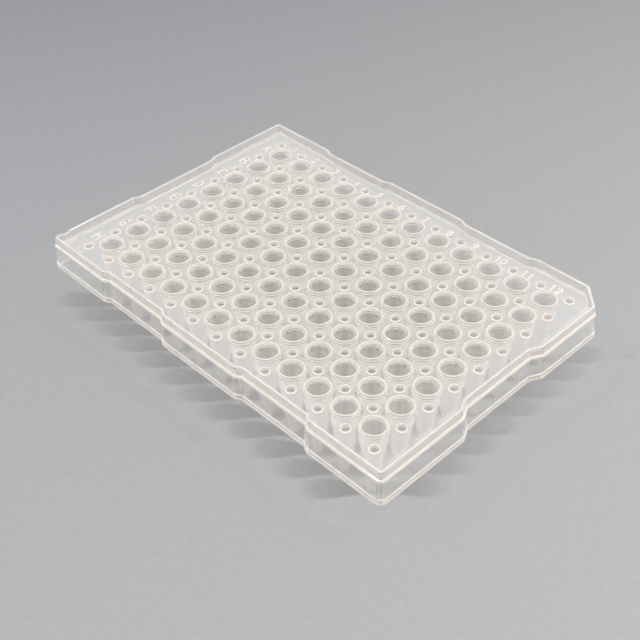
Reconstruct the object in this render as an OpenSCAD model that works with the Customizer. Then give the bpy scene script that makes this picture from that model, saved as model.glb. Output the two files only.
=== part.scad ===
// Half-skirted 96-well plate, one moulding in natural polypropylene.
// +X runs along the columns 1 to 12, +Y from row H to row A, +Z up.
// The origin is on the surface that the tube tips stand on, under the middle of the plate.

/* [Wells] */
// Columns of wells, along X
columns = 12; // [2:1:12]
// Rows of wells, along Y
rows = 8; // [2:1:8]
// Distance between neighbouring wells
pitch = 9; // [8.8:0.1:9.2]
// Inner diameter of a well in its straight upper part
well_d = 5.4; // [5.2:0.1:5.6]
// Inner diameter of a well at its mouth, over the sloping lead-in
mouth_d = 6; // [5.8:0.1:6.2]
// Depth of the lead-in, from the lip
lead_h = 0.7; // [0.4:0.1:1.2]
// Outer diameter of a well's thick collar
collar_d = 6.9; // [6.8:0.1:7.4]
// Outer diameter where the cone starts, under the collar
shoulder_d = 6.3; // [6:0.1:6.5]
// Outer diameter of the round tip
tip_d = 2.7; // [2.4:0.1:3.2]
// Depth of the straight upper part, from the lip
straight_h = 6.1; // [5:0.1:8]
// Wall thickness of the cone
cone_wall = 0.45; // [0.35:0.05:0.6]
// Height of a tube, from the tip to the top of the lip
tube_h = 21.8; // [19:0.1:24]
// Height of the lip above the deck
lip_h = 0.8; // [0.6:0.1:1.6]

/* [Deck] */
// Thickness of the deck
deck_t = 0.9; // [0.7:0.1:1.2]
// Diameter of the small holes between the wells, at the top face
hole_top_d = 2.5; // [2.4:0.05:3]
// Diameter of the small holes at the bottom face
hole_bottom_d = 1.9; // [1.8:0.1:2.3]
// Height of the raised letters and numbers
mark_h = 0.2; // [0.1:0.05:0.4]
// Stroke width of the letters and numbers
mark_w = 0.42; // [0.3:0.02:0.5]

/* [Rim and skirt] */
// Length of the rim, outside
rim_l = 123.2; // [122.4:0.2:126]
// Width of the rim, outside
rim_w = 84; // [83.4:0.2:87]
// Thickness of the rim and of the skirt
wall = 0.85; // [0.75:0.05:1]
// Height of the rim above the well lips
rim_h = 1.4; // [0.6:0.1:2]
// Outward step from the rim to the skirt
step = 0.6; // [0.3:0.1:0.6]
// Outward step from the skirt to the flange
flange = 0.4; // [0.3:0.1:0.6]
// Height of the flange
flange_h = 1.7; // [1:0.1:2.2]
// Height of the whole wall, from the rim to the foot of the flange
side_h = 9.8; // [8:0.1:12]
// Length that the cut corner takes off each side
corner_cut = 6; // [4:0.5:7]
// Radius of the other corners of the rim
corner_r = 1; // [0.8:0.1:1.5]

/* [Grip recesses] */
// Depth of the recesses in the long sides and by column 1
recess = 1; // [0.6:0.1:1.1]
// Length of the slope at each end of these recesses
slope = 1.8; // [1.5:0.1:2.5]
// Depth of the deeper recess by column 12
deep_recess = 1.7; // [1:0.1:1.8]
// Length of the slope at each end of the deeper recess
deep_slope = 3.2; // [2.5:0.1:4]
// Distance from the middle to the inner end of a long side's recess
long_start = 13.7; // [10:0.1:15]
// Distance from the middle to the outer end of a long side's recess
long_end = 39.2; // [35:0.1:42]
// Distance from the middle to the end of a short side's recess
short_end = 15; // [12:0.2:18]

/* [Hidden] */

$fn = 48;
lap = 0.1;                                // overlap that joins two shapes
lip_z = tube_h;
rim_z = lip_z + rim_h;
deck_z = lip_z - lip_h;                   // top face of the deck
foot_z = rim_z - side_h;                  // lowest face of the flange
ledge_z = deck_z - 0.3;                   // where the skirt steps out
lip_r = (collar_d - mouth_d) / 4;         // the lip is a full round
tip_r = tip_d / 2;
fillet = 1;                               // radius at the ends of a recess slope
hole_columns = columns + 1;
hole_rows = rows + 1;
notch_w = 2.2;                            // small notch in the rim by row H
notch_h = 0.4;
notch_y = -38.2;
letter_x = -(columns * pitch / 2 + 1.7);  // beside the first column
letter_w = 1.95;
letter_h = 3.1;
number_y = rows * pitch / 2 + 1;          // behind the first row
number_pitch = pitch - 0.1;               // the numbers stand a little closer than the wells
digit_w = 1.3;
digit_h = 2.4;
digit_advance = digit_w + 0.65;

// ---- outline -------------------------------------------------------------------------

function unit(v) = v / norm(v);
function right_of(v) = [v.y, -v.x];

// The points of one recess as [distance along the side, depth], from its start to its end
function recess_steps(start, end, depth, ramp) =
    [[start, 0], [start + ramp, depth], [end - ramp, depth], [end, 0]];

// A long side has a recess on each side of its middle, a short side has one across it
long_steps = concat(
    recess_steps(-long_end, -long_start, recess, slope),
    recess_steps(long_start, long_end, recess, slope)
);
column_1_steps = recess_steps(-short_end, short_end, recess, slope);
column_12_steps = recess_steps(-short_end, short_end, deep_recess, deep_slope);

// The corners of the rim's outside, anticlockwise from the corner by H12,
// each with the radius it is rounded to
function rim_corners() =
    let (x = rim_l / 2, y = rim_w / 2)
    concat(
        [[[x, -y], corner_r]],
        [for (s = column_12_steps) [[x - s[1], s[0]], fillet]],
        [[[x, y - corner_cut], corner_r]],
        [[[x - corner_cut, y], corner_r]],
        [for (s = long_steps) [[-s[0], y - s[1]], fillet]],
        [[[-x, y], corner_r]],
        [for (s = column_1_steps) [[-x + s[1], -s[0]], fillet]],
        [[[-x, -y], corner_r]],
        [for (s = long_steps) [[s[0], -y + s[1]], fillet]]
    );

// Corner i of a closed outline, moved outwards by grow and rounded with an arc.
// A hollow corner's radius shrinks where an outer corner's radius grows.
function round_corner(c, i, grow) =
    let (
        n = len(c),
        p = c[i][0],
        u = unit(p - c[(i + n - 1) % n][0]),
        v = unit(c[(i + 1) % n][0] - p),
        bend = cross(u, v) > 0 ? 1 : -1,
        r = max(0.2, c[i][1] + bend * grow),
        out = (right_of(u) + right_of(v)) / (1 + u * v),
        turn = acos(u * v),
        tangent = r * tan(turn / 2),
        centre = p + grow * out - tangent * u - bend * r * right_of(u),
        steps = ceil(turn / 18)
    )
    [for (k = [0:steps])
        let (a = bend * turn * k / steps, s = bend * r * right_of(u))
        centre + [s.x * cos(a) - s.y * sin(a), s.x * sin(a) + s.y * cos(a)]];

module outline(grow) {
    c = rim_corners();
    polygon([for (i = [0:len(c) - 1]) each round_corner(c, i, grow)]);
}

// ---- rim, skirt, flange and deck -----------------------------------------------------

// One storey of the side wall, from z up by h, standing out by grow
module storey(z, h, grow, thickness) {
    translate([0, 0, z])
        linear_extrude(h)
            difference() {
                outline(grow);
                outline(grow - thickness);
            }
}

module side_wall() {
    difference() {
        storey(ledge_z - lap, rim_z - ledge_z + lap, 0, wall);
        translate([-rim_l / 2, notch_y, rim_z])
            cube([4 * wall, notch_w, 2 * notch_h], center = true);
    }
    storey(foot_z, ledge_z - foot_z, step, wall);
    storey(foot_z, flange_h, step + flange, wall + flange);
}

module deck() {
    translate([0, 0, deck_z - deck_t])
        linear_extrude(deck_t)
            difference() {
                outline(-wall / 2);
                at_wells() circle(d = (collar_d + well_d) / 2);
            }
}

module at_wells() {
    for (i = [0:columns - 1], j = [0:rows - 1])
        translate([(i - (columns - 1) / 2) * pitch, ((rows - 1) / 2 - j) * pitch])
            children();
}

module at_holes() {
    for (i = [0:hole_columns - 1], j = [0:hole_rows - 1])
        translate([(i - (hole_columns - 1) / 2) * pitch, ((hole_rows - 1) / 2 - j) * pitch])
            children();
}

module small_holes() {
    h = deck_t + 2 * lap;
    at_holes()
        translate([0, 0, deck_z - deck_t - lap])
            cylinder(h = h, d1 = hole_bottom_d, d2 = hole_top_d);
}

// ---- wells ---------------------------------------------------------------------------

// Half section of one tube: round lip, collar, cone and round tip
module tube_section() {
    well_r = well_d / 2;
    mouth_r = mouth_d / 2;
    collar_r = collar_d / 2;
    shoulder_z = lip_z - straight_h;
    bore_tip_r = tip_r - cone_wall;
    translate([mouth_r + lip_r, lip_z - lip_r])
        circle(r = lip_r);
    difference() {
        union() {
            polygon([
                [0, tip_r], [tip_r, tip_r], [shoulder_d / 2, shoulder_z],
                [collar_r, shoulder_z + 1], [collar_r, lip_z - lip_r], [0, lip_z - lip_r]
            ]);
            intersection() {
                translate([0, tip_r]) circle(r = tip_r);
                square(tip_r);
            }
        }
        polygon([
            [-lap, tip_r], [bore_tip_r, tip_r], [well_r, shoulder_z],
            [well_r, lip_z - lead_h], [mouth_r, lip_z - lip_r], [mouth_r, lip_z], [-lap, lip_z]
        ]);
        translate([0, tip_r]) circle(r = bore_tip_r);
    }
}

module tubes() {
    at_wells()
        rotate_extrude()
            tube_section();
}

// ---- letters and numbers -------------------------------------------------------------

// Points along an arc of an oval, in a glyph box one unit wide and one unit high
function oval(cx, cy, rx, ry, from, to) =
    let (steps = ceil(abs(to - from) / 45))
    [for (k = [0:steps])
        let (a = from + (to - from) * k / steps)
        [cx + rx * cos(a), cy + ry * sin(a)]];

// The strokes of each glyph, each a path of points.
// A path that ends where it starts is a ring, and runs clockwise.
function closed(p) = concat(p, [p[0]]);
function strokes(g) =
    g == "A" ? [[[0, 0], [0.5, 1]], [[1, 0], [0.5, 1]], [[0.15, 0.33], [0.85, 0.33]]] :
    g == "B" ? [closed(concat([[0, 0.5], [0, 1], [0.55, 1]], oval(0.55, 0.75, 0.4, 0.25, 45, -45),
                    [[0.55, 0.5]])),
                closed(concat([[0, 0], [0, 0.54], [0.6, 0.54]], oval(0.6, 0.27, 0.4, 0.27, 45, -45),
                    [[0.6, 0]]))] :
    g == "C" ? [oval(0.55, 0.5, 0.5, 0.5, 45, 315)] :
    g == "D" ? [closed(concat([[0, 0], [0, 1], [0.45, 1]], oval(0.45, 0.5, 0.55, 0.5, 45, -45),
                    [[0.45, 0]]))] :
    g == "E" ? [[[1, 1], [0, 1], [0, 0], [1, 0]], [[0, 0.52], [0.8, 0.52]]] :
    g == "F" ? [[[1, 1], [0, 1], [0, 0]], [[0, 0.52], [0.8, 0.52]]] :
    g == "G" ? [concat(oval(0.55, 0.5, 0.5, 0.5, 45, 315), [[0.95, 0.45], [0.6, 0.45]])] :
    g == "H" ? [[[0, 0], [0, 1]], [[1, 0], [1, 1]], [[0, 0.5], [1, 0.5]]] :
    g == "0" ? [closed(oval(0.5, 0.5, 0.45, 0.5, 360, 45))] :
    g == "1" ? [[[0.6, 0], [0.6, 1]], [[0.2, 0.75], [0.6, 0.92]]] :
    g == "2" ? [concat(oval(0.5, 0.72, 0.45, 0.28, 170, -10), [[0.1, 0], [1, 0]])] :
    g == "3" ? [oval(0.45, 0.76, 0.4, 0.24, 150, -80), oval(0.45, 0.28, 0.45, 0.28, 80, -150)] :
    g == "4" ? [[[0.75, 0], [0.75, 1]], [[0.75, 0.95], [0.05, 0.3], [1, 0.3]]] :
    g == "5" ? [concat([[0.9, 1], [0.2, 1], [0.12, 0.55]], oval(0.45, 0.32, 0.5, 0.32, 80, -150))] :
    g == "6" ? [closed(oval(0.5, 0.3, 0.42, 0.3, 360, 45)), [[0.1, 0.35], [0.25, 0.75], [0.7, 1]]] :
    g == "7" ? [[[0, 1], [0.95, 1], [0.35, 0]]] :
    g == "8" ? [closed(oval(0.5, 0.76, 0.36, 0.24, 360, 45)),
                closed(oval(0.5, 0.28, 0.44, 0.28, 360, 45))] :
    [closed(oval(0.5, 0.7, 0.42, 0.3, 360, 45)), [[0.9, 0.65], [0.75, 0.25], [0.3, 0]]];

// One edge of a stroke: its path moved sideways by d. A ring's ends share one corner.
function edge(p, d) =
    let (last = len(p) - 1, ring = p[0] == p[last])
    [for (i = [0:ring ? last - 1 : last])
        let (
            before = i > 0 ? p[i] - p[i - 1] : ring ? p[0] - p[last - 1] : p[1] - p[0],
            after = i < last ? p[i + 1] - p[i] : before,
            u = right_of(unit(before)),
            v = right_of(unit(after))
        )
        p[i] + d * (u + v) / (1 + u * v)];

module stroke(path) {
    one_side = edge(path, mark_w / 2);
    other_side = edge(path, -mark_w / 2);
    if (path[0] == path[len(path) - 1])
        difference() {
            polygon(other_side);
            polygon(one_side);
        }
    else
        polygon(concat(one_side, [for (i = [len(other_side) - 1:-1:0]) other_side[i]]));
}

// One raised glyph of width w and height h, centred on the origin
module glyph(g, w, h) {
    linear_extrude(mark_h + lap)
        for (s = strokes(g))
            stroke([for (p = s) [(p.x - 0.5) * w, (p.y - 0.5) * h]]);
}

module marks() {
    translate([0, 0, deck_z - lap]) {
        for (j = [0:rows - 1])
            translate([letter_x, ((rows - 1) / 2 - j) * pitch])
                glyph("ABCDEFGH"[j], letter_w, letter_h);
        for (i = [0:columns - 1]) {
            number = str(i + 1);
            translate([(i - (columns - 1) / 2) * number_pitch, number_y])
                for (k = [0:len(number) - 1])
                    translate([(k - (len(number) - 1) / 2) * digit_advance, 0])
                        glyph(number[k], digit_w, digit_h);
        }
    }
}

module plate() {
    color([0.86, 0.87, 0.86, 0.7]) {
        side_wall();
        difference() {
            deck();
            small_holes();
        }
        tubes();
        marks();
    }
}

plate();
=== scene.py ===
# %% [markdown]
# # A half-skirted 96-well plate in natural polypropylene
# The real plate is one injection moulding. A thin deck carries 96 tubes, a raised rim runs round
# it, and a short stepped skirt hangs below. The plastic is clear but hazy, so what the eye reads
# is mostly edges: every lip, step and corner glows, and the flat faces nearly vanish.
# That sets the method. Each edge gets a small radius in the mesh itself, the walls are solid, and
# the whole plate is one closed skin, because light that is refracted twice per wall shows at once
# where a skin has a gap or a hidden inner face.

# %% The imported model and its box
import math

import bmesh
import bpy
import numpy as np
from mathutils import Matrix, Vector
from mathutils.geometry import delaunay_2d_cdt


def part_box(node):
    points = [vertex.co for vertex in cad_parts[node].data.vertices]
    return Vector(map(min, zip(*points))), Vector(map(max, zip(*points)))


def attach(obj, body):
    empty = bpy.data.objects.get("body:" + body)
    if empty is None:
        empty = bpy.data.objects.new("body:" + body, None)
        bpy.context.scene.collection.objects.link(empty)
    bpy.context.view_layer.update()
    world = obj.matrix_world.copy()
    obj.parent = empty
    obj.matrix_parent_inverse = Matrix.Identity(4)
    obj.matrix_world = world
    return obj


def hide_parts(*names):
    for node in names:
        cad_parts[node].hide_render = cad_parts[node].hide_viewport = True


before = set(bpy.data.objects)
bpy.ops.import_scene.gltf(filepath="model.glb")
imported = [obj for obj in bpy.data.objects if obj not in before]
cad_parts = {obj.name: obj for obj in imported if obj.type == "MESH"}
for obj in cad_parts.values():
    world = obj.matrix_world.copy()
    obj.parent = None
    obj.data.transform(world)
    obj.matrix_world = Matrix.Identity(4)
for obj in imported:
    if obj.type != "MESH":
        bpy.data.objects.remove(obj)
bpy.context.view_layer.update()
MM = 0.001
low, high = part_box("plate")
print("plate, mm:", [round((b - a) / MM, 2) for a, b in zip(low, high)])

# %% [markdown]
# ## The plate's sizes
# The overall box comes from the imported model. The rest are sizes in millimetres: wells on the
# standard 9 mm pitch, walls of 0.85 mm and a deck of 0.9 mm. Most are readings that may be a few
# tenths off. The lower tubes and the small radii are assumed. Heights are measured from the surface
# that the tube tips stand on.

# %% Sizes in millimetres
COLUMNS, ROWS, PITCH = 12, 8, 9.0
RIM_H, LIP_H, DECK_T, SIDE_H, STRAIGHT_H = 1.4, 0.8, 0.9, 9.8, 6.1
rim_z = high.z / MM
lip_z = rim_z - RIM_H
deck_z = lip_z - LIP_H
deck_under_z = deck_z - DECK_T
foot_z = rim_z - SIDE_H
shoulder_z = lip_z - STRAIGHT_H
STEP, FLANGE, WALL = 0.6, 0.4, 0.85
rim_x = high.x / MM - STEP - FLANGE
rim_y = high.y / MM - STEP - FLANGE
WELL_R, MOUTH_R, COLLAR_R, SHOULDER_R, TIP_R = 2.7, 3.0, 3.45, 3.15, 1.35
HOLE_TOP_R, HOLE_UNDER_R = 1.2, 0.95
print("deck at", round(deck_z, 2), "mm, rim half size", round(rim_x, 2), round(rim_y, 2), "mm")

# %% [markdown]
# ## Profiles with rounded corners
# Moulded plastic has no knife edges. A profile is written as its corner points, each with the
# radius of its round, and one function turns the corners into arcs. Tangent arcs matter more here
# than on an opaque part: a highlight and a refraction both follow the surface's slope.

# %% A path with rounded corners
def rounded(corners, degrees_a_step=30):
    """Points of a path through corners (x, y, radius), with each corner turned into an arc."""
    path = []
    for i, (x, y, radius) in enumerate(corners):
        if radius == 0 or i in (0, len(corners) - 1):
            path.append((x, y))
            continue
        here = Vector((x, y))
        back = (Vector(corners[i - 1][:2]) - here).normalized()
        ahead = (Vector(corners[i + 1][:2]) - here).normalized()
        turn = math.pi - back.angle(ahead)
        middle = here + (back + ahead).normalized() * radius / math.cos(turn / 2)
        start = here + back * radius * math.tan(turn / 2) - middle
        side = 1 if back.x * ahead.y - back.y * ahead.x < 0 else -1
        steps = max(2, math.ceil(math.degrees(turn) / degrees_a_step))
        for k in range(steps + 1):
            spoke = start.copy()
            spoke.rotate(Matrix.Rotation(side * turn * k / steps, 2))
            path.append(tuple(middle + spoke))
    return path


def arc(x, y, radius, start, end, steps):
    """Points along an arc round (x, y), with angles in degrees."""
    angles = [math.radians(start + (end - start) * k / steps) for k in range(steps + 1)]
    return [(x + radius * math.cos(a), y + radius * math.sin(a)) for a in angles]


# %% [markdown]
# ## The outline
# Seen from above the plate is a rectangle with grip recesses in its sides and one cut corner,
# which shows where well A12 is. The rim, the ledge, the skirt and the flange are this same outline
# moved outwards or inwards. So the outline is a function of how far it is moved: outer corners grow
# their radius, hollow corners shrink it, and every copy has the same number of points, which lets
# the side wall be swept round it with clean quads.

# %% The outline's corners
CORNER_R, JOG_R, CUT = 1.0, 1.0, 6.0
RECESS, SLOPE = 1.0, 1.8
DEEP_RECESS, DEEP_SLOPE = 1.7, 3.2
LONG_START, LONG_END, SHORT_END = 13.7, 39.2, 15.0


def recess(start, end, depth=RECESS, slope=SLOPE):
    """Corners of one recess, as (distance along the side, depth)."""
    return [(start, 0), (start + slope, depth), (end - slope, depth), (end, 0)]


long_side = recess(-LONG_END, -LONG_START) + recess(LONG_START, LONG_END)
column_1_side = recess(-SHORT_END, SHORT_END)
column_12_side = recess(-SHORT_END, SHORT_END, DEEP_RECESS, DEEP_SLOPE)
outline_corners = (
    [(rim_x, -rim_y, CORNER_R)]
    + [(rim_x - depth, along, JOG_R) for along, depth in column_12_side]
    + [(rim_x, rim_y - CUT, CORNER_R), (rim_x - CUT, rim_y, CORNER_R)]
    + [(-along, rim_y - depth, JOG_R) for along, depth in long_side]
    + [(-rim_x, rim_y, CORNER_R)]
    + [(-rim_x + depth, -along, JOG_R) for along, depth in column_1_side]
    + [(-rim_x, -rim_y, CORNER_R)]
    + [(along, -rim_y + depth, JOG_R) for along, depth in long_side]
)
NOTCH_Y, NOTCH_W, NOTCH_H, NOTCH_SLOPE = -38.2, 2.2, 0.4, 0.15
notch_edges = [NOTCH_Y + s * (NOTCH_W / 2 + t) for s, t in
               ((1, NOTCH_SLOPE), (1, 0), (-1, 0), (-1, NOTCH_SLOPE))]


def outline(grow):
    """The outline moved outwards by grow, anticlockwise, as (x, y) points."""
    points, count = [], len(outline_corners)
    for i, (x, y, radius) in enumerate(outline_corners):
        here = Vector((x, y))
        u = (here - Vector(outline_corners[i - 1][:2])).normalized()
        v = (Vector(outline_corners[(i + 1) % count][:2]) - here).normalized()
        bend = 1 if u.x * v.y - u.y * v.x > 0 else -1
        r = max(0.15, radius + bend * grow)
        turn = u.angle(v)
        out_u, out_v = Vector((u.y, -u.x)), Vector((v.y, -v.x))
        corner = here + grow * (out_u + out_v) / (1 + u.dot(v))
        middle = corner - u * r * math.tan(turn / 2) - bend * r * out_u
        steps = max(2, math.ceil(math.degrees(turn) / 15))
        for k in range(steps + 1):
            spoke = bend * r * out_u
            spoke.rotate(Matrix.Rotation(bend * turn * k / steps, 2))
            points.append(tuple(middle + spoke))
        if i == count - len(long_side) - 2:
            points += [(-rim_x - grow, edge) for edge in notch_edges]
    return points


print("outline points:", len(outline(0)))

# %% [markdown]
# ## Joining strips into one skin
# All parts of the skin are written into one bmesh as rings of points joined by quads. Rings that
# belong together have the same coordinates, so one merge at the end closes the plate.

# %% Helpers that add rings and strips
skin = bmesh.new()


def add_ring(points):
    """Adds (x, y, z) points in millimetres to the skin and returns their vertices."""
    return [skin.verts.new((x * MM, y * MM, z * MM)) for x, y, z in points]


def bridge(mesh, ring, other):
    """Joins two closed rings of equal length with quads."""
    for i in range(len(ring)):
        mesh.faces.new((ring[i - 1], ring[i], other[i], other[i - 1]))


# %% [markdown]
# ## The side wall
# One section holds rim, ledge, skirt and flange: it starts on the deck, climbs the inside of the
# rim, comes down outside over the ledge and the flange, and goes up inside the skirt to the deck's
# underside. The ledge and the flange slope a little, as a mould needs to let go of them. The small
# notch by row H is the same sweep with its top lowered over a short stretch.

# %% The side wall, swept round the outline
DRAFT = 0.15
SKIRT_TOP = STEP - DRAFT / 2
SKIRT_INSIDE = SKIRT_TOP - WALL
DECK_EDGE, UNDER_EDGE = -WALL - 0.6, SKIRT_INSIDE - 0.6
wall_section = rounded([
    (DECK_EDGE, deck_z, 0),
    (-WALL, deck_z, 0.4),
    (-WALL + 0.05, rim_z, 0.25),
    (0, rim_z, 0.25),
    (0, deck_z - 0.1, 0.15),
    (SKIRT_TOP, deck_z - 0.4, 0.25),
    (SKIRT_TOP + DRAFT, foot_z + 1.9, 0.15),
    (STEP + FLANGE, foot_z + 1.6, 0.2),
    (STEP + FLANGE, foot_z, 0.25),
    (SKIRT_INSIDE + DRAFT, foot_z, 0.2),
    (SKIRT_INSIDE, deck_under_z, 0.45),
    (UNDER_EDGE, deck_under_z, 0),
])


def notch_share(x, y):
    """How deep the notch is at a point, from 0 to 1."""
    if x > -rim_x + WALL + 1:
        return 0
    return min(1, max(0, (NOTCH_W / 2 + NOTCH_SLOPE - abs(y - NOTCH_Y)) / NOTCH_SLOPE))


wall_rings = []
for grow, z in wall_section:
    near_top = z > rim_z - 0.3
    wall_rings.append(add_ring([
        (x, y, z - NOTCH_H * notch_share(x, y) * near_top) for x, y in outline(grow)
    ]))
for ring, other in zip(wall_rings, wall_rings[1:]):
    bridge(skin, ring, other)
print("side wall:", len(wall_section), "rings of", len(wall_rings[0]))

# %% [markdown]
# ## The tube and the small hole
# Both are turned shapes, so each is a profile spun round Z. The tube is open in two places: its
# lip meets the deck's top face in one circle and its collar meets the underside in another.

# %% Spun pieces, each as its own mesh
TUBE_SIDES, HOLE_SIDES = 24, 16
FILLET_TOP, FILLET_UNDER, HOLE_FILLET = 0.18, 0.3, 0.1
LEAD_IN, CONE_WALL = 0.7, 0.45
lip_r = (COLLAR_R - MOUTH_R) / 2
tube_outside = rounded([
    (COLLAR_R + FILLET_UNDER, deck_under_z, 0),
    (COLLAR_R, deck_under_z, FILLET_UNDER),
    (COLLAR_R, shoulder_z + 1, 0.6),
    (SHOULDER_R, shoulder_z, 0.6),
    (TIP_R, TIP_R, 0),
], 45)[1:] + arc(0, TIP_R, TIP_R, 0, -90, 5)[1:]
tube_inside = (
    arc(0, TIP_R, TIP_R - CONE_WALL, -90, 0, 4)
    + [(WELL_R, shoulder_z), (WELL_R, shoulder_z + 0.3)]
    + [(WELL_R, lip_z - LEAD_IN - 0.1), (WELL_R + 0.02, lip_z - LEAD_IN)]
    + arc(MOUTH_R + lip_r, lip_z - lip_r, lip_r, 165, 0, 6)
    + arc(COLLAR_R + FILLET_TOP, deck_z + FILLET_TOP, FILLET_TOP, 180, 270, 3)
)
hole_wall = rounded([
    (HOLE_TOP_R + HOLE_FILLET, deck_z, 0),
    (HOLE_TOP_R, deck_z, HOLE_FILLET),
    (HOLE_UNDER_R, deck_under_z, HOLE_FILLET / 2),
    (HOLE_UNDER_R + HOLE_FILLET, deck_under_z, 0),
], 60)


def circle(x, y, r, sides):
    """Points of a circle, anticlockwise."""
    turns = [2 * math.pi * k / sides for k in range(sides)]
    return [(x + r * math.cos(a), y + r * math.sin(a)) for a in turns]


def spin(name, profiles, sides):
    """An object with each (radius, height) profile spun round Z. Radius 0 closes in a pole."""
    mesh = bmesh.new()
    for profile in profiles:
        last = None
        for r, z in profile:
            if r < 1e-6:
                ring = [mesh.verts.new((0, 0, z * MM))]
            else:
                ring = [mesh.verts.new((x * MM, y * MM, z * MM))
                        for x, y in circle(0, 0, r, sides)]
            if last and len(last) == len(ring):
                bridge(mesh, last, ring)
            elif last:
                pole, fan = sorted((last, ring), key=len)
                for i in range(sides):
                    mesh.faces.new((fan[i - 1], fan[i], pole[0]))
            last = ring
    data = bpy.data.meshes.new(name)
    mesh.to_mesh(data)
    mesh.free()
    piece = bpy.data.objects.new(name, data)
    bpy.context.scene.collection.objects.link(piece)
    print(name, "has", len(data.polygons), "faces")
    return piece


one_tube = spin("one_tube", [tube_outside, tube_inside], TUBE_SIDES)
one_hole = spin("one_hole", [hole_wall], HOLE_SIDES)

# %% [markdown]
# ## Repeating the tube and the hole
# The mould repeats both on a square grid, so a Geometry Nodes tree does the same: a grid of points,
# one instance on each, then Realize Instances, because only real faces can be merged and exported.
# The tree has inputs for the piece, the pitch and the counts, so it serves both grids.

# %% A grid tree in Geometry Nodes
def add_node(tree, kind, settings=None, **links):
    """Adds a node, sets its sockets or properties by name, and links the sockets given."""
    node = tree.nodes.new(kind)
    for name, value in (settings or {}).items():
        if name in node.inputs:
            node.inputs[name].default_value = value
        else:
            setattr(node, name, value)
    for name, source in links.items():
        tree.links.new(source, node.inputs[name.replace("_", " ")])
    return node


def grid_tree():
    """A tree that repeats a piece on a square grid round the origin and gives it a material."""
    tree = bpy.data.node_groups.new("square_grid", "GeometryNodeTree")
    tree.interface.new_socket("Geometry", in_out="INPUT", socket_type="NodeSocketGeometry")
    for name, kind in (("Piece", "Object"), ("Pitch", "Float"), ("Columns", "Int"),
                       ("Rows", "Int"), ("Plastic", "Material")):
        tree.interface.new_socket(name, in_out="INPUT", socket_type="NodeSocket" + kind)
    tree.interface.new_socket("Geometry", in_out="OUTPUT", socket_type="NodeSocketGeometry")
    given = add_node(tree, "NodeGroupInput").outputs
    lengths = []
    for count in ("Columns", "Rows"):
        gaps = add_node(tree, "ShaderNodeMath", {"operation": "SUBTRACT"})
        tree.links.new(given[count], gaps.inputs[0])
        gaps.inputs[1].default_value = 1
        length = add_node(tree, "ShaderNodeMath", {"operation": "MULTIPLY"})
        tree.links.new(gaps.outputs[0], length.inputs[0])
        tree.links.new(given["Pitch"], length.inputs[1])
        lengths.append(length.outputs[0])
    points = add_node(tree, "GeometryNodeMeshGrid", Size_X=lengths[0], Size_Y=lengths[1],
                      Vertices_X=given["Columns"], Vertices_Y=given["Rows"])
    piece = add_node(tree, "GeometryNodeObjectInfo", Object=given["Piece"])
    copies = add_node(tree, "GeometryNodeInstanceOnPoints", Points=points.outputs["Mesh"],
                      Instance=piece.outputs["Geometry"])
    real = add_node(tree, "GeometryNodeRealizeInstances", Geometry=copies.outputs[0])
    plastic = add_node(tree, "GeometryNodeSetMaterial", Geometry=real.outputs[0],
                       Material=given["Plastic"])
    add_node(tree, "NodeGroupOutput", Geometry=plastic.outputs[0])
    return tree


# %% [markdown]
# A modifier's input is set by its socket's identifier, before the object is first evaluated. The
# result is copied out as a plain mesh, and the helper objects are removed.

# %% Both grids, as plain meshes
square_grid = grid_tree()
polypropylene = bpy.data.materials.new("natural_polypropylene")


def on_grid(piece, columns, rows):
    """The piece repeated on a grid, as a plain mesh. The piece itself is removed."""
    carrier = bpy.data.objects.new(piece.name + "_grid", bpy.data.meshes.new("carrier"))
    bpy.context.scene.collection.objects.link(carrier)
    grid = carrier.modifiers.new("grid", "NODES")
    grid.node_group = square_grid
    values = {"Piece": piece, "Pitch": PITCH * MM, "Columns": columns, "Rows": rows,
              "Plastic": polypropylene}
    for item in square_grid.interface.items_tree:
        if item.in_out == "INPUT" and item.name in values:
            grid[item.identifier] = values[item.name]
    shown = carrier.evaluated_get(bpy.context.evaluated_depsgraph_get())
    mesh = bpy.data.meshes.new_from_object(shown)
    for helper in (carrier, piece):
        bpy.data.objects.remove(helper)
    print(columns, "by", rows, "copies:", len(mesh.polygons), "faces")
    return mesh


tube_mesh = on_grid(one_tube, COLUMNS, ROWS)
hole_mesh = on_grid(one_hole, COLUMNS + 1, ROWS + 1)


def grid_places(columns, rows):
    """The places of the grid's points, in millimetres."""
    return [((i - (columns - 1) / 2) * PITCH, ((rows - 1) / 2 - j) * PITCH)
            for j in range(rows) for i in range(columns)]


wells = grid_places(COLUMNS, ROWS)
holes = grid_places(COLUMNS + 1, ROWS + 1)

# %% [markdown]
# ## Letters and numbers
# Plates are read by row letters and column numbers, moulded 0.2 mm proud of the deck. Each glyph
# is a few strokes in a box one unit wide and one unit high. A stroke gives two outlines, a wide one
# for its foot and a narrow one for its top, and the deck's points are lifted by how near they are
# to the stroke's middle line. So the glyphs are part of the deck's own surface, with sloping sides.

# %% The strokes of each glyph
def oval(x, y, rx, ry, start, end):
    """Points along part of an oval, with angles in degrees."""
    steps = max(2, math.ceil(abs(end - start) / 30))
    angles = [math.radians(start + (end - start) * k / steps) for k in range(steps + 1)]
    return [(x + rx * math.cos(a), y + ry * math.sin(a)) for a in angles]


def ring(path):
    """A path closed on itself."""
    return path + [path[0]]


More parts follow.
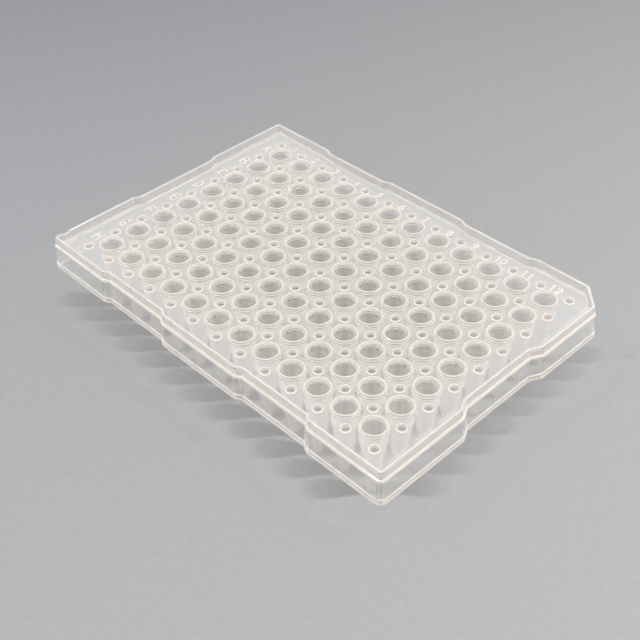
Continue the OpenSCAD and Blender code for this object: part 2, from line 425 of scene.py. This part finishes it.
GLYPHS = {
    "A": [[(0, 0), (0.5, 1)], [(1, 0), (0.5, 1)], [(0.17, 0.33), (0.83, 0.33)]],
    "B": [ring([(0, 0.53), (0, 1), (0.6, 1)] + oval(0.6, 0.77, 0.35, 0.23, 60, -60) + [(0.6, 0.53)]),
          ring([(0, 0), (0, 0.53), (0.6, 0.53)] + oval(0.6, 0.265, 0.4, 0.265, 60, -60)
               + [(0.6, 0)])],
    "C": [oval(0.55, 0.5, 0.5, 0.5, 45, 315)],
    "D": [ring([(0, 0), (0, 1), (0.45, 1)] + oval(0.45, 0.5, 0.55, 0.5, 60, -60) + [(0.45, 0)])],
    "E": [[(1, 1), (0, 1), (0, 0), (1, 0)], [(0, 0.52), (0.85, 0.52)]],
    "F": [[(1, 1), (0, 1), (0, 0)], [(0, 0.52), (0.85, 0.52)]],
    "G": [oval(0.55, 0.5, 0.5, 0.5, 45, 320) + [(0.95, 0.46), (0.6, 0.46)]],
    "H": [[(0, 0), (0, 1)], [(1, 0), (1, 1)], [(0, 0.52), (1, 0.52)]],
    "0": [ring(oval(0.5, 0.5, 0.5, 0.5, 0, 330))],
    "1": [[(0.6, 0), (0.6, 1)], [(0.2, 0.75), (0.6, 0.92)]],
    "2": [oval(0.5, 0.71, 0.46, 0.29, 170, -20) + [(0.05, 0), (1, 0)]],
    "3": [oval(0.45, 0.75, 0.43, 0.25, 150, -80) + oval(0.45, 0.27, 0.5, 0.27, 75, -150)],
    "4": [[(0.75, 0), (0.75, 1)], [(0.75, 0.95), (0.05, 0.3), (1, 0.3)]],
    "5": [[(0.9, 1), (0.2, 1), (0.1, 0.5)] + oval(0.45, 0.33, 0.5, 0.33, 110, -150)],
    "6": [ring(oval(0.5, 0.31, 0.48, 0.31, 0, 330)), [(0.03, 0.35), (0.2, 0.75), (0.75, 1)]],
    "7": [[(0, 1), (0.95, 1), (0.35, 0)]],
    "8": [ring(oval(0.5, 0.76, 0.42, 0.24, 0, 330)), ring(oval(0.5, 0.27, 0.5, 0.27, 0, 330))],
    "9": [ring(oval(0.5, 0.69, 0.48, 0.31, 0, 330)), [(0.97, 0.65), (0.8, 0.25), (0.25, 0)]],
}
LETTER_W, LETTER_H, LETTER_X = 1.95, 3.1, -55.7
DIGIT_W, DIGIT_H, DIGIT_ADVANCE = 1.3, 2.4, 1.95
NUMBER_Y, NUMBER_PITCH = 37.0, 8.9
MARK_FOOT, MARK_TOP, MARK_H, MITRE = 0.3, 0.2, 0.2, 1.5


def glyph_paths(glyph, x, y, w, h):
    """The strokes of a glyph round (x, y), as paths in millimetres."""
    return [[(x + (px - 0.5) * w, y + (py - 0.5) * h) for px, py in path]
            for path in GLYPHS[glyph]]


mark_paths = []
for j in range(ROWS):
    mark_paths += glyph_paths("ABCDEFGH"[j], LETTER_X, ((ROWS - 1) / 2 - j) * PITCH,
                              LETTER_W, LETTER_H)
for i in range(COLUMNS):
    number = str(i + 1)
    for k, digit in enumerate(number):
        x = (i - (COLUMNS - 1) / 2) * NUMBER_PITCH
        x += (k - (len(number) - 1) / 2) * DIGIT_ADVANCE
        mark_paths += glyph_paths(digit, x, NUMBER_Y, DIGIT_W, DIGIT_H)
print(len(mark_paths), "strokes")


def stroke_edges(path, width, beyond):
    """The two sides of a stroke of half width width: one loop, or two loops for a ring.
    Open ends are carried on by beyond."""
    closed = path[0] == path[-1]
    points = [Vector(p) for p in (path[:-1] if closed else path)]
    sides = ([], [])
    for i, here in enumerate(points):
        before = here - points[i - 1] if closed or i else points[1] - here
        after = points[(i + 1) % len(points)] - here if closed or i < len(points) - 1 else before
        u, v = before.normalized(), after.normalized()
        out = Vector((u.y + v.y, -u.x - v.x)) / (1 + u.dot(v))
        if out.length > MITRE:
            out *= MITRE / out.length
        if not closed and i in (0, len(points) - 1):
            here = here + (beyond if i else -beyond) * u
        for side, sign in zip(sides, (1, -1)):
            side.append(here + sign * width * out)
    if closed:
        return [sides[0], sides[1]]
    return [sides[0] + sides[1][::-1]]


# %% [markdown]
# ## The deck
# A flat plate with round holes is awkward to mesh by hand, and a boolean leaves slivers. A
# constrained Delaunay triangulation takes every circle and outline as given edges and fills what is
# between. Triangles whose middle lies in a hole are dropped. On the underside the pins that push
# the plate out of its mould leave shallow round dents between rows A and B, C and D, E and F, and
# G and H.

# %% Filling the deck's two faces
def far_from(places, reach):
    """A test for points that lie further than reach from all places."""
    spots = np.array(places)

    def test(points):
        gaps = np.linalg.norm(points[:, None, :] - spots[None, :, :], axis=2)
        return gaps.min(axis=1) > reach
    return test


def fill_deck(edge, z, circles, marks, tests, lift):
    """Triangles of one face of the deck, inside the edge loop and outside what tests rejects."""
    loops = [edge] + circles + marks
    points, lines = [], []
    for loop in loops:
        first = len(points)
        points += [Vector(p) for p in loop]
        lines += [(first + k, first + (k + 1) % len(loop)) for k in range(len(loop))]
    flat, _, faces, *_ = delaunay_2d_cdt(points, lines, [list(range(len(edge)))], 1, 1e-5)
    flat = np.array(flat)
    middles = np.array([flat[list(face)].mean(axis=0) for face in faces])
    keep = np.all([test(middles) for test in tests], axis=0)
    heights = z + lift(flat)
    verts = [skin.verts.new((x * MM, y * MM, h * MM)) for (x, y), h in zip(flat, heights)]
    for face, kept in zip(faces, keep):
        if kept:
            skin.faces.new([verts[k] for k in face])
    for vert in [v for v in verts if not v.link_faces]:
        skin.verts.remove(vert)
    print("deck face at", round(z, 2), "mm:", int(keep.sum()), "triangles")


def mark_lift(points):
    """How far each point is lifted by the nearest stroke."""
    nearest = np.full(len(points), 9.0)
    for path in mark_paths:
        for a, b in zip(path, path[1:]):
            a, b = np.array(a), np.array(b)
            along = np.clip((points - a) @ (b - a) / ((b - a) @ (b - a)), 0, 1)
            gap = np.linalg.norm(points - a - along[:, None] * (b - a), axis=1)
            nearest = np.minimum(nearest, gap)
    return MARK_H * np.clip((MARK_FOOT - nearest) / (MARK_FOOT - MARK_TOP), 0, 1)


PIN_R, PIN_DENT, PIN_SLOPE = 2.3, 0.06, 0.1
pin_places = [(x, y) for x, y in holes
              if abs(x) < COLUMNS * PITCH / 2 - 1 and abs(abs(y) / PITCH % 2 - 1) < 0.1]


def pin_lift(points):
    """How far the underside is dented upwards round each pin's hole."""
    gaps = np.linalg.norm(points[:, None, :] - np.array(pin_places)[None, :, :], axis=2)
    gaps = gaps.min(axis=1)
    rim = np.clip((PIN_R - gaps) / PIN_SLOPE, 0, 1)
    return PIN_DENT * rim * np.clip((gaps - hole_under_r) / 0.5, 0, 1)


tube_top_r, tube_under_r = COLLAR_R + FILLET_TOP, COLLAR_R + FILLET_UNDER
hole_top_r, hole_under_r = hole_wall[0][0], hole_wall[-1][0]
marks = [loop for path in mark_paths
         for width, beyond in ((MARK_FOOT, MARK_FOOT), (MARK_TOP, 0))
         for loop in stroke_edges(path, width, beyond)]
fill_deck(
    outline(DECK_EDGE), deck_z,
    [circle(x, y, tube_top_r, TUBE_SIDES) for x, y in wells]
    + [circle(x, y, hole_top_r, HOLE_SIDES) for x, y in holes],
    marks, [far_from(wells, tube_top_r - 0.05), far_from(holes, hole_top_r - 0.05)], mark_lift)
fill_deck(
    outline(UNDER_EDGE), deck_under_z,
    [circle(x, y, tube_under_r, TUBE_SIDES) for x, y in wells]
    + [circle(x, y, hole_under_r, HOLE_SIDES) for x, y in holes],
    [circle(x, y, r, HOLE_SIDES) for x, y in pin_places for r in (PIN_R, PIN_R - PIN_SLOPE)],
    [far_from(wells, tube_under_r - 0.05), far_from(holes, hole_under_r - 0.05)], pin_lift)

# %% [markdown]
# ## One closed moulding
# Everything is merged, checked for open edges, and turned to face outwards. The flat faces are
# large and the rounds are small, so normals weighted by area keep the flats flat and let only the
# rounds bend the light.

# %% Merging and checking the skin
for mesh in (tube_mesh, hole_mesh):
    skin.from_mesh(mesh)
    bpy.data.meshes.remove(mesh)
bmesh.ops.remove_doubles(skin, verts=skin.verts[:], dist=0.002 * MM)
bmesh.ops.recalc_face_normals(skin, faces=skin.faces[:])
open_edges = [e for e in skin.edges if len(e.link_faces) != 2]
print("open edges:", len(open_edges), "volume, mm3:", round(skin.calc_volume() / MM ** 3))
print("triangles:", sum(len(f.verts) - 2 for f in skin.faces))
for face in skin.faces:
    face.smooth = True
    face.material_index = 0
moulding_mesh = bpy.data.meshes.new("plate_moulding")
skin.to_mesh(moulding_mesh)
skin.free()
moulding = bpy.data.objects.new("plate_moulding", moulding_mesh)
bpy.context.scene.collection.objects.link(moulding)
moulding.data.materials.clear()
moulding.data.materials.append(polypropylene)


def weigh_normals(piece):
    """Applies normals weighted by face area, as a plain mesh without a modifier."""
    weights = piece.modifiers.new("area_normals", "WEIGHTED_NORMAL")
    weights.weight = 100
    weights.keep_sharp = True
    shown = piece.evaluated_get(bpy.context.evaluated_depsgraph_get())
    mesh = bpy.data.meshes.new_from_object(shown)
    piece.modifiers.clear()
    piece.data = mesh


weigh_normals(moulding)

# %% [markdown]
# ## Natural polypropylene
# Uncoloured polypropylene refracts like other clear plastics, with an index near 1.49, but its
# crystals scatter part of the light. So a thin flat wall is nearly clear, with a slight veil, and a
# place that is thick or seen edge-on looks creamy white. A share from 0 to 1 says how milky the
# surface is at each place. The same share also paints light: the glow, highlights and reflections
# at lips, edges and steps are painted into it as a creamy white. It is put together from bands of
# height, distances from the grid and the way the surface faces, all in the plate's own coordinates.

# %% Small helpers for shader nodes
def linear(code):
    """An sRGB hex colour as linear red, green, blue and alpha."""
    parts = [int(code[k:k + 2], 16) / 255 for k in (1, 3, 5)]
    return [p / 12.92 if p <= 0.04045 else ((p + 0.055) / 1.055) ** 2.4 for p in parts] + [1]


def feed(tree, node, values):
    """Sets or links a node's sockets, given as {socket number: value or source}."""
    for slot, value in values.items():
        if isinstance(value, bpy.types.NodeSocket):
            tree.links.new(value, node.inputs[slot])
        else:
            node.inputs[slot].default_value = value


def calculate(tree, operation, first, second=0):
    """The result of a Math node on two sockets or numbers."""
    node = add_node(tree, "ShaderNodeMath", {"operation": operation})
    feed(tree, node, {0: first, 1: second})
    return node.outputs[0]


def scale_range(tree, value, start, end, low=0, high=1):
    """A value mapped from start..end to low..high, and held at both ends."""
    limits = {"From Min": start, "From Max": end, "To Min": low, "To Max": high}
    return add_node(tree, "ShaderNodeMapRange", limits, Value=value).outputs[0]


def mix_colours(tree, share, first, second):
    """A colour between two colours, each a socket or a value."""
    node = add_node(tree, "ShaderNodeMix", {"data_type": "RGBA"})
    feed(tree, node, {0: share, 6: first, 7: second})
    return node.outputs[2]


polypropylene.use_nodes = True
nodes = polypropylene.node_tree
nodes.nodes.clear()


def both(first, second):
    """The product of two shares."""
    return calculate(nodes, "MULTIPLY", first, second)


def rest(share):
    """What a share leaves of the whole."""
    return calculate(nodes, "SUBTRACT", 1, share)


def most(*shares):
    """The largest of some shares."""
    result = shares[0]
    for share in shares[1:]:
        result = calculate(nodes, "MAXIMUM", result, share)
    return result


def below(value, limit, soft):
    """1 below the limit and 0 from the limit plus soft on, in millimetres."""
    return scale_range(nodes, value, (limit + soft) * MM, limit * MM)


def above(value, limit, soft):
    """1 above the limit and 0 up to the limit minus soft, in millimetres."""
    return scale_range(nodes, value, (limit - soft) * MM, limit * MM)


def band(value, start, end, soft):
    """1 between start and end and 0 outside, with soft edges, in millimetres."""
    return both(above(value, start, soft), below(value, end, soft))


# %% [markdown]
# ### Where a point lies
# The distances from the nearest well and from the nearest small hole repeat with the pitch, so both
# come from one function: the position is taken modulo the pitch, and the grid of holes lies half a
# pitch further on.

# %% Heights, distances and directions
coordinates = add_node(nodes, "ShaderNodeTexCoord").outputs
place = coordinates["Object"]
axes = add_node(nodes, "ShaderNodeSeparateXYZ", Vector=place).outputs
facing = add_node(nodes, "ShaderNodeSeparateXYZ", Vector=coordinates["Normal"]).outputs
height = axes["Z"]
across_x = calculate(nodes, "ABSOLUTE", axes["X"])
across_y = calculate(nodes, "ABSOLUTE", axes["Y"])
FAR_AWAY = 20


def from_grid(shift):
    """Distance from the nearest point of the square grid, in metres."""
    sides = []
    for axis in ("X", "Y"):
        along = calculate(nodes, "ADD", axes[axis], (shift + FAR_AWAY) * PITCH * MM)
        along = calculate(nodes, "MODULO", along, PITCH * MM)
        along = calculate(nodes, "SUBTRACT", along, PITCH * MM / 2)
        sides.append(calculate(nodes, "POWER", calculate(nodes, "ABSOLUTE", along), 2))
    return calculate(nodes, "SQRT", calculate(nodes, "ADD", *sides))


from_well, from_hole = from_grid(0), from_grid(0.5)
steep = scale_range(nodes, calculate(nodes, "ABSOLUTE", facing["Z"]), 0.98, 0.9)
outward = calculate(nodes, "ADD", both(facing["X"], axes["X"]), both(facing["Y"], axes["Y"]))
outward = above(outward, 15, 10)
print("the nearest well and hole repeat every", PITCH, "mm")

# %% [markdown]
# ### Where the plastic is milky, and where light is painted
# In the tray these are the bore's lead-in, the crest of each lip, the collar and its fillet, the
# small holes, and the tops of the letters and numbers. Round the edge they are the rim's top and
# inner face, the step at the foot of the rim and the foot of the flange. Most of this is painted
# light. There is a painted reflection in the bore's lead-in and along the flange's foot, and a
# painted highlight on each lip's crest. The collar, the fillet, the small holes, the letter tops,
# the rim and the step carry a painted glow, where light that runs inside the plastic leaks out. The
# thick collar is also really milky. Below the deck the tubes are thick enough to look whitish all
# over.

# %% The milky share, with painted light
# Painted light and milkiness: most masks below paint a glow, highlight or reflection as cream white.
# Only the collar and the tubes are also really milky.
BORE, COLLAR, FILLET, RIM_TOP, RIM_INSIDE, WALL_FOOT, TUBES = 0.85, 0.75, 0.8, 0.5, 0.22, 0.95, 0.34
BORE_DEPTH, HOLE_BAND = 1.0, HOLE_TOP_R + 0.14
grid_x, grid_y = (COLUMNS * PITCH - 1) / 2 - 0.1, (ROWS * PITCH - 1) / 2 - 0.1
tray = both(below(across_x, rim_x - 3.1, 0.2), below(across_y, rim_y - 2.3, 0.2))
grid = both(below(across_x, grid_x, 0.1), below(across_y, grid_y, 0.1))
edge = rest(tray)
# Painted reflection of the lamps in the bore's lead-in, just below the mouth.
bore_reflection = both(band(from_well, 0, MOUTH_R + 0.05, 0.1),
               band(height, lip_z - BORE_DEPTH, lip_z, 0.08))
# Painted highlight along the crest of each lip.
crest_highlight = both(band(from_well, MOUTH_R - 0.1, COLLAR_R + 0.1, 0.1),
             band(height, lip_z - 0.12, lip_z + 0.1, 0.1))
# Painted glow on the collar and its fillet, partly real milkiness of the thick collar.
collar = both(band(from_well, COLLAR_R - 0.3, COLLAR_R + 0.1, 0.1),
              band(height, deck_z + 0.3, lip_z, 0.1))
fillet = both(band(from_well, COLLAR_R - 0.1, COLLAR_R + 0.17, 0.05),
              band(height, deck_z - 0.05, deck_z + 0.25, 0.1))
rings = most(both(bore_reflection, BORE), crest_highlight, both(collar, COLLAR), both(fillet, FILLET))
# Painted glow on the tops of the letters and numbers.
mark_tops = both(band(height, deck_z + 0.12, deck_z + 0.3, 0.06), rest(grid))
# Painted glow round each small hole.
small_holes = both(band(from_hole, 0, HOLE_BAND, 0.06),
                   band(height, deck_under_z, deck_z + 0.1, 0.1))
inside = both(tray, most(both(grid, rings), mark_tops, small_holes))
# Painted glow on the rim's top and inner face, and on the step at the rim's foot.
rim_top = above(height, rim_z - 0.1, 0.2)
rim_inside = both(band(height, deck_z - 0.1, rim_z, 0.3), both(edge, rest(outward)))
wall_foot = both(band(height, deck_z - 0.75, deck_z + 0.75, 0.3), both(steep, both(edge, outward)))
# Painted reflection: a white line along the foot of the flange.
flange_foot_reflection = both(band(height, foot_z - 0.2, foot_z + 0.5, 0.15), edge)
tubes = both(tray, below(height, deck_under_z - 1.0, 0.5))
milk_and_painted_light = most(inside, both(rim_top, RIM_TOP), both(rim_inside, RIM_INSIDE),
             both(wall_foot, WALL_FOOT), flange_foot_reflection, both(tubes, TUBES))
cloud = add_node(nodes, "ShaderNodeTexNoise", {"Scale": 400, "Detail": 3}, Vector=place).outputs[0]
milk_and_painted_light = both(milk_and_painted_light, scale_range(nodes, cloud, 0, 1, 0.75, 1.25))
print(len(nodes.nodes), "nodes make the milky share")

# %% [markdown]
# ### The shader
# The milky share lowers the transmission and warms the colour to a cream. So it paints the glow,
# highlights and reflections named above, as well as the plastic's real milkiness. Light from the
# lamps and the surroundings passes straight through the clear walls, because a path tracer finds it
# hard to follow light through many thin walls. Only the tubes hold part of it back, which gives the
# striped shadow on the floor.

# %% The plastic's shader
VEIL, MILK_AND_PAINTED_LIGHT = 0.14, 0.65
HAZE_PER_METRE, HAZE_FORWARD = 25, 0.3
WHITE = (1, 1, 1, 1)
SOFT_LIGHT, LAMP_LIGHT = (0.97, 0.97, 0.96, 1), (0.68, 0.67, 0.65, 1)
clearness = calculate(nodes, "SUBTRACT", 1 - VEIL, both(milk_and_painted_light, MILK_AND_PAINTED_LIGHT))
# Base colour: near white where the plastic is clear, and cream #FBF1E7 where glow and highlights are
# painted.
plastic = add_node(
    nodes, "ShaderNodeBsdfPrincipled", {"IOR": 1.49}, Transmission_Weight=clearness,
    Base_Color=mix_colours(nodes, milk_and_painted_light, linear("#FFFEFC"), linear("#FBF1E7")),
    Roughness=scale_range(nodes, cloud, 0, 1, 0.05, 0.09))
ray = add_node(nodes, "ShaderNodeLightPath").outputs
through_tubes = mix_colours(nodes, ray["Is Shadow Ray"], SOFT_LIGHT, LAMP_LIGHT)
clear = add_node(nodes, "ShaderNodeBsdfTransparent",
                 Color=mix_colours(nodes, tubes, WHITE, through_tubes))
passing = most(ray["Is Shadow Ray"], ray["Is Diffuse Ray"], ray["Is Volume Scatter Ray"])
mix = add_node(nodes, "ShaderNodeMixShader")
feed(nodes, mix, {0: passing, 1: plastic.outputs[0], 2: clear.outputs[0]})
haze = add_node(nodes, "ShaderNodeVolumeScatter", {
    "Color": linear("#FFFCF6"), "Density": HAZE_PER_METRE, "Anisotropy": HAZE_FORWARD})
add_node(nodes, "ShaderNodeOutputMaterial", Surface=mix.outputs[0], Volume=haze.outputs[0])
print(polypropylene.name, "has", len(nodes.nodes), "nodes")

# %% [markdown]
# ## The moulding joins the frame
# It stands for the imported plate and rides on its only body.

# %% Frame calls
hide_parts("plate")
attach(moulding, "root")

# %% [markdown]
# ## The floor
# A grey paper sweep with a fine grain. Its colour carries a painted falloff of the light: it grows
# lighter from the far left to the near right. The plate stands on it with its tube tips.

# %% The floor
FLOOR_HALF = 1.5
FALL_TURN = math.radians(-1.66)
FALL_START, FALL_END = -0.3, 0.12
floor_mesh = bpy.data.meshes.new("floor")
floor_mesh.from_pydata(
    [(-FLOOR_HALF, -FLOOR_HALF, 0), (FLOOR_HALF, -FLOOR_HALF, 0),
     (FLOOR_HALF, FLOOR_HALF, 0), (-FLOOR_HALF, FLOOR_HALF, 0)], [], [(0, 1, 2, 3)])
floor = bpy.data.objects.new("floor", floor_mesh)
bpy.context.scene.collection.objects.link(floor)
paper = bpy.data.materials.new("grey_paper")
paper.use_nodes = True
tree = paper.node_tree
surface = tree.nodes["Principled BSDF"]
surface.inputs["Roughness"].default_value = 0.9
here = add_node(tree, "ShaderNodeTexCoord").outputs["Object"]
turned = add_node(tree, "ShaderNodeMapping", {"Rotation": (0, 0, FALL_TURN)}, Vector=here)
fall = add_node(tree, "ShaderNodeSeparateXYZ", Vector=turned.outputs[0]).outputs["X"]
# Painted light falloff: the paper's colour is darker at the far left and lighter at the near right.
painted_light_falloff = mix_colours(tree, scale_range(tree, fall, FALL_START, FALL_END),
                    linear("#97989D"), linear("#B2B2B3"))
grain = add_node(tree, "ShaderNodeTexNoise", {"Scale": 500, "Detail": 4}, Vector=here)
tone = add_node(tree, "ShaderNodeVectorMath", {"operation": "SCALE"},
                Scale=scale_range(tree, grain.outputs[0], 0.3, 0.7, 0.97, 1.03))
feed(tree, tone, {0: painted_light_falloff})
tree.links.new(tone.outputs[0], surface.inputs["Base Color"])
floor.data.materials.append(paper)
print("floor of", 2 * FLOOR_HALF, "m")

# %% [markdown]
# ## The lights
# Two short strip lamps hang level on either side of the plate, so that each tube throws a thin
# shadow sideways. The rest is soft light from a world that is brighter near the horizon. What shows
# in reflections and through the plastic is plain white.

# %% The lamps
AZIMUTH = math.radians(46.658)
across = Vector((math.cos(AZIMUTH), math.sin(AZIMUTH), 0))
towards = Vector((math.sin(AZIMUTH), -math.cos(AZIMUTH), 0))
upwards = Vector((0, 0, 1))
STRIP_ASIDE, STRIP_AHEAD, STRIP_HEIGHT = 0.4, 0.08, 0.6
STRIP_LENGTH, STRIP_WIDTH = 0.15, 0.02


def strip_light(name, side, power):
    """A long lamp that hangs level over one side of the plate. Side is -1 for left, 1 for right."""
    lamp = bpy.data.lights.new(name, "AREA")
    lamp.shape = "RECTANGLE"
    lamp.size, lamp.size_y = STRIP_LENGTH, STRIP_WIDTH
    lamp.energy = power
    box = bpy.data.objects.new(name, lamp)
    box.location = (across * side * STRIP_ASIDE + towards * STRIP_AHEAD
                    + upwards * STRIP_HEIGHT)
    box.rotation_euler = (0, 0, AZIMUTH)
    bpy.context.scene.collection.objects.link(box)
    print(name, power, "W")


strip_light("left_strip", -1, 2.8)
strip_light("right_strip", 1, 3.2)

# %% The world
HORIZON, ZENITH, ZENITH_FROM = 0.92, 0.2, 0.7
world = bpy.data.worlds.new("studio")
bpy.context.scene.world = world
world.use_nodes = True
tree = world.node_tree
sky = tree.nodes["Background"]
sky.inputs["Color"].default_value = WHITE
direction = add_node(tree, "ShaderNodeTexCoord").outputs["Generated"]
rise = add_node(tree, "ShaderNodeSeparateXYZ", Vector=direction).outputs["Z"]
soft_light = scale_range(tree, rise, 0, ZENITH_FROM, HORIZON, ZENITH)
ray = add_node(tree, "ShaderNodeLightPath").outputs
seen = calculate(tree, "MAXIMUM", ray["Is Camera Ray"], ray["Is Glossy Ray"])
seen = calculate(tree, "MAXIMUM", seen, ray["Is Transmission Ray"])
strength = add_node(tree, "ShaderNodeMix")
feed(tree, strength, {0: seen, 2: soft_light, 3: 1.0})
tree.links.new(strength.outputs[0], sky.inputs["Strength"])
print("soft light from", HORIZON, "at the horizon to", ZENITH, "overhead")

# %% [markdown]
# ## The camera
# It looks down over the corner by well H12, from about two and a half plate lengths away.

# %% The camera
ELEVATION, ROLL = math.radians(40.316), math.radians(-1.543)
CAMERA_PLACE = (0.16864, -0.15968, 0.20131)
back = towards * math.cos(ELEVATION) + upwards * math.sin(ELEVATION)
up = back.cross(across)
camera_x = math.cos(ROLL) * across + math.sin(ROLL) * up
camera_y = math.cos(ROLL) * up - math.sin(ROLL) * across
lens = bpy.data.cameras.new("camera")
lens.lens = 62.41
lens.clip_start = 0.01
camera = bpy.data.objects.new("camera", lens)
camera.matrix_world = Matrix.Translation(CAMERA_PLACE) @ Matrix(
    (camera_x, camera_y, back)).transposed().to_4x4()
bpy.context.scene.collection.objects.link(camera)
bpy.context.scene.camera = camera
print("camera", round(Vector(CAMERA_PLACE).length, 3), "m from the plate")

# %% Picture settings
scene = bpy.context.scene
scene.view_settings.view_transform = "Standard"
scene.cycles.max_bounces = 32
scene.cycles.transmission_bounces = 32
scene.cycles.transparent_max_bounces = 64
scene.cycles.volume_bounces = 8
print(scene.cycles.max_bounces, "bounces")
